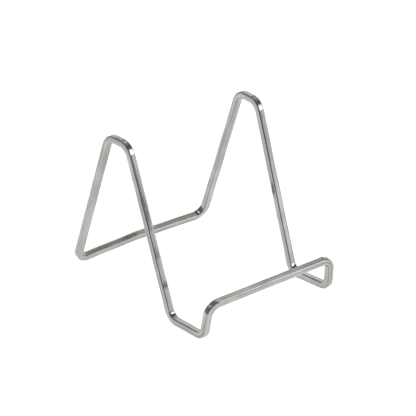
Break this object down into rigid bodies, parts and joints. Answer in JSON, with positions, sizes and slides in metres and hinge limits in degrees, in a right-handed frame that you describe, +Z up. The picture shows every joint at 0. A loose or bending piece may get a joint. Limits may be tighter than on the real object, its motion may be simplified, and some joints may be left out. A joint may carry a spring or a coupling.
{
  "type": "photo album stand",
  "caption": "Free-standing display stand bent from one square plated wire: two A-shaped side frames with ledges and a front lip that hold an album leaning back.",
  "frame": {"origin": "on the floor, under the middle of the stand's overall width and depth", "axes": "+X across to the stand's left-to-right direction as its reader sees it, -Y towards the reader (the lip side), +Z up"},
  "size_m": [0.1274, 0.1614, 0.1272],
  "materials": {
    "plated_wire": "polished nickel plate on drawn square wire"
  },
  "bodies": {
    "root": {"back_leg_left": "plated_wire", "back_leg_right": "plated_wire", "butt_weld": "plated_wire", "front_leg_left": "plated_wire", "front_leg_right": "plated_wire", "heel_bend_left": "plated_wire", "heel_bend_right": "plated_wire", "ledge_arm_left": "plated_wire", "ledge_arm_right": "plated_wire", "lip_bar": "plated_wire", "lip_corner_bend_left": "plated_wire", "lip_corner_bend_right": "plated_wire", "lip_upright_left": "plated_wire", "lip_upright_right": "plated_wire", "rear_bar_left": "plated_wire", "rear_bar_right": "plated_wire", "rear_corner_bend_left": "plated_wire", "rear_corner_bend_right": "plated_wire", "toe_bend_left": "plated_wire", "toe_bend_right": "plated_wire", "top_front_bend_left": "plated_wire", "top_front_bend_right": "plated_wire", "top_member_left": "plated_wire", "top_member_right": "plated_wire", "top_rear_bend_left": "plated_wire", "top_rear_bend_right": "plated_wire"}
  },
  "joints": []
}
